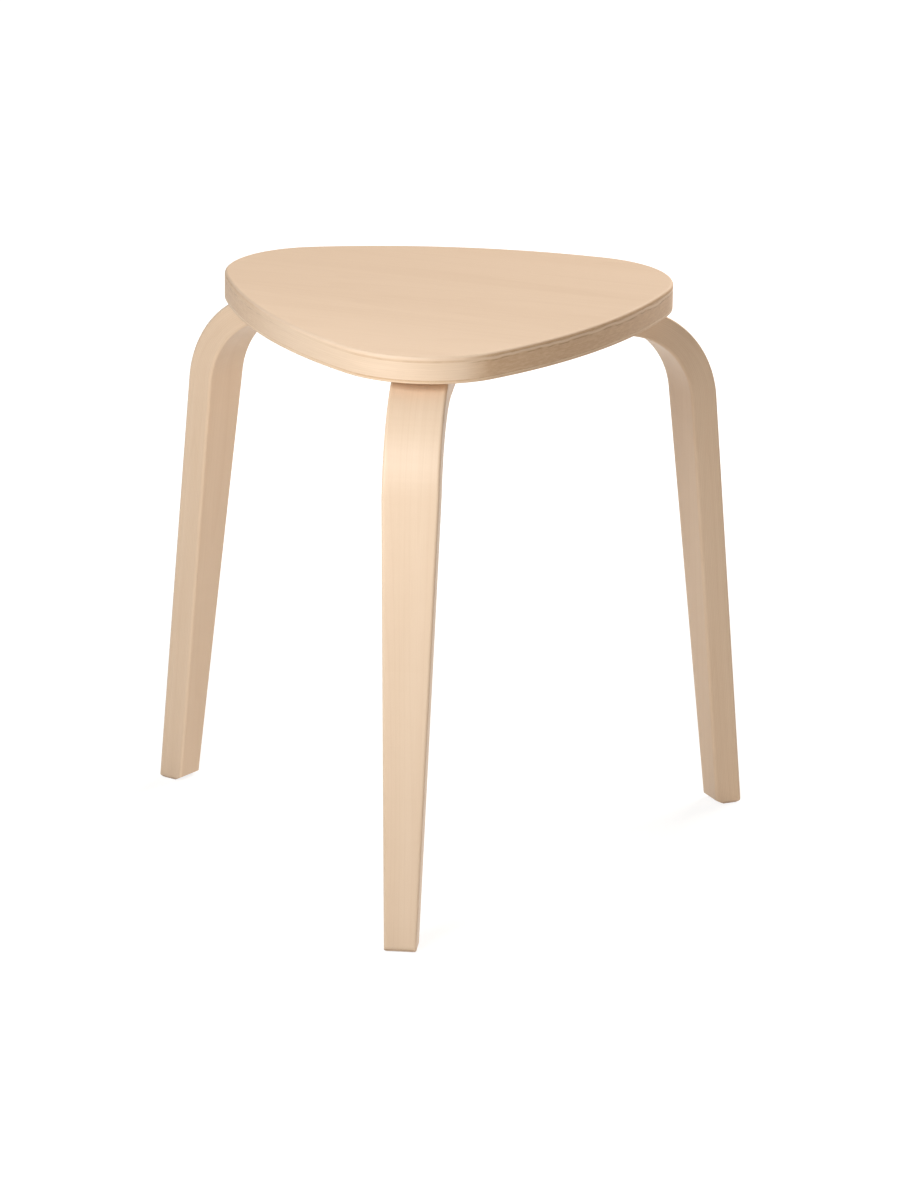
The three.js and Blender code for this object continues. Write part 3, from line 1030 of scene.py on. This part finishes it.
dome = []
for i in range(head_steps + 1):
    turn = i / head_steps * math.pi / 2
    radius = head_flat + (head_radius - head_flat) * math.sin(turn)
    dome.append((radius, (head_height - head_rim) * (1 - math.cos(turn))))
shank_start = head_height + plain_shank
bolt_pattern = turned(
    "bolt_pattern",
    [
        (0, 0),
        *dome,
        (head_radius, head_height - head_edge),
        (head_radius - head_edge, head_height),
        (thread_root + thread_ridge, head_height),
        (thread_root + thread_ridge, shank_start),
        *thread(
            shank_start + head_edge, bolt_length - shank_start - tip_chamfer - 2 * head_edge,
            thread_pitch, thread_root, thread_ridge,
        ),
        (thread_root, bolt_length - tip_chamfer),
        (thread_root - tip_chamfer / 2, bolt_length),
        (0, bolt_length),
    ],
    bolt_turn_steps,
    pitch=thread_pitch,
)
socket_radius = socket_flats / 2 / math.cos(math.pi / socket_sides)
socket_profile = [
    (0, -socket_overrun),
    (socket_radius, -socket_overrun),
    (socket_radius, socket_depth),
    (0, socket_depth + socket_point),
]
drill(bolt_pattern, [turned("socket_punch", socket_profile, socket_sides)])
bolt_pattern.data.materials.append(zinc_plate)
set_at_bolts(bolt_pattern, "button_head_bolt", "bolt", bolt_low.z)


# Floor and air: a pale studio floor that takes the stool's soft shadow. The camera, and what mirrors
# them, see both as white. To everything else the floor is pale paper, which throws some light back
# up, and the air is a weak warm fill.

floor_size = 12.0
floor_paper = (0.77, 0.77, 0.77, 1)
shadow_paper = (0.3, 0.3, 0.3, 1)
near_shine = 0.84
near_radius = 0.4
far_radius = 1.1

bpy.ops.mesh.primitive_plane_add(size=floor_size, location=(axis.x, axis.y, 0))
floor = bpy.context.object
floor.name = "studio_floor"
paper = bpy.data.materials.new("studio_paper")
paper.use_nodes = True
tree = paper.node_tree
tree.nodes.clear()


def seen(tree):
    """1 for rays that show the background itself: straight to the camera, mirrored, or through glass."""
    rays = put(tree, "ShaderNodeLightPath").outputs
    mirrored = sums(tree, "MAXIMUM", rays["Is Glossy Ray"], rays["Is Transmission Ray"])
    return sums(tree, "MAXIMUM", rays["Is Camera Ray"], mirrored)


bounce = put(tree, "ShaderNodeBsdfDiffuse", {"Color": floor_paper}).outputs[0]
shadowed = put(tree, "ShaderNodeBsdfDiffuse", {"Color": shadow_paper}).outputs[0]
from_stool = put(tree, "ShaderNodeVectorMath", {0: own_place(tree)}, operation="LENGTH").outputs["Value"]
shine = ramp(tree, from_stool, near_radius, far_radius, near_shine, 1.0)
glow = put(tree, "ShaderNodeEmission", {"Color": white, "Strength": shine}).outputs[0]
shown = put(tree, "ShaderNodeAddShader", {0: shadowed, 1: glow}).outputs[0]
surface = put(tree, "ShaderNodeMixShader", {0: seen(tree), 1: bounce, 2: shown}).outputs[0]
put(tree, "ShaderNodeOutputMaterial", {"Surface": surface})
floor.data.materials.append(paper)

air_colour = (1.0, 0.9, 0.77, 1)
air_fill = 0.163
world = bpy.data.worlds.new("studio_air")
world.use_nodes = True
bpy.context.scene.world = world
tree = world.node_tree
tree.nodes.clear()
fill = put(tree, "ShaderNodeBackground", {"Color": air_colour, "Strength": air_fill}).outputs[0]
backdrop = put(tree, "ShaderNodeBackground", {"Color": white, "Strength": 1.0}).outputs[0]
sky = put(tree, "ShaderNodeMixShader", {0: seen(tree), 1: fill, 2: backdrop}).outputs[0]
put(tree, "ShaderNodeOutputWorld", {"Surface": sky})


# Lamps: a soft box in front, to the left and above, lights the seat and the front leg. A weak one low
# on the right opens the shaded sides, and a large one high behind on the right lights the seat's top.


def soft_box(name, azimuth, elevation, distance, size, watts, colour):
    """A square soft box aimed at the middle of the stool. Azimuth 0 is in front, and turns to the right."""
    turn = math.radians(azimuth)
    rise = math.radians(elevation)
    target = axis + Vector((0, 0, seat_high.z / 2))
    direction = Vector((math.sin(turn) * math.cos(rise), -math.cos(turn) * math.cos(rise), math.sin(rise)))
    light = bpy.data.lights.new(name, "AREA")
    light.size = size
    light.energy = watts
    light.color = colour
    lamp = bpy.data.objects.new(name, light)
    lamp.location = target + distance * direction
    lamp.rotation_euler = direction.to_track_quat("Z", "Y").to_euler()
    bpy.context.scene.collection.objects.link(lamp)


cool = (0.915, 0.96, 1.0)
warm = (1.0, 0.92, 0.85)
warmer = (1.0, 0.91, 0.8)
soft_box("front_box", azimuth=-25, elevation=30, distance=1.0, size=0.5, watts=6.85, colour=cool)
soft_box("side_box", azimuth=45, elevation=0, distance=1.9, size=0.95, watts=4.9, colour=warm)
soft_box("back_box", azimuth=150, elevation=40, distance=2.8, size=1.4, watts=59.3, colour=warmer)


# Camera: a long lens at standing height, looking down a little, with the whole stool in an upright
# picture. Its place and direction were fitted to the photograph.

picture_height = 1200
focal_pixels = 6746.08
camera_turn = math.radians(5.36)
camera_distance = 5.09697
camera_height = 1.77358
camera_pitch = math.radians(17.16)
camera_yaw = math.radians(-0.11)
camera_roll = math.radians(0.82)
sensor = 36.0

look = camera_turn + camera_yaw
forward = Vector((
    -math.sin(look) * math.cos(camera_pitch),
    math.cos(look) * math.cos(camera_pitch),
    -math.sin(camera_pitch),
))
level_right = Vector((math.cos(look), math.sin(look), 0))
level_up = level_right.cross(forward)
right = math.cos(camera_roll) * level_right + math.sin(camera_roll) * level_up
up = math.cos(camera_roll) * level_up - math.sin(camera_roll) * level_right

lens = bpy.data.cameras.new("studio_camera")
lens.sensor_fit = "AUTO"
lens.sensor_width = sensor
lens.lens = focal_pixels / picture_height * sensor
camera = bpy.data.objects.new("studio_camera", lens)
camera_place = axis + Vector((
    math.sin(camera_turn) * camera_distance,
    -math.cos(camera_turn) * camera_distance,
    camera_height,
))
camera.matrix_world = Matrix.Translation(camera_place) @ Matrix((right, up, -forward)).transposed().to_4x4()
bpy.context.scene.collection.objects.link(camera)
bpy.context.scene.camera = camera
bpy.context.scene.view_settings.view_transform = "Standard"
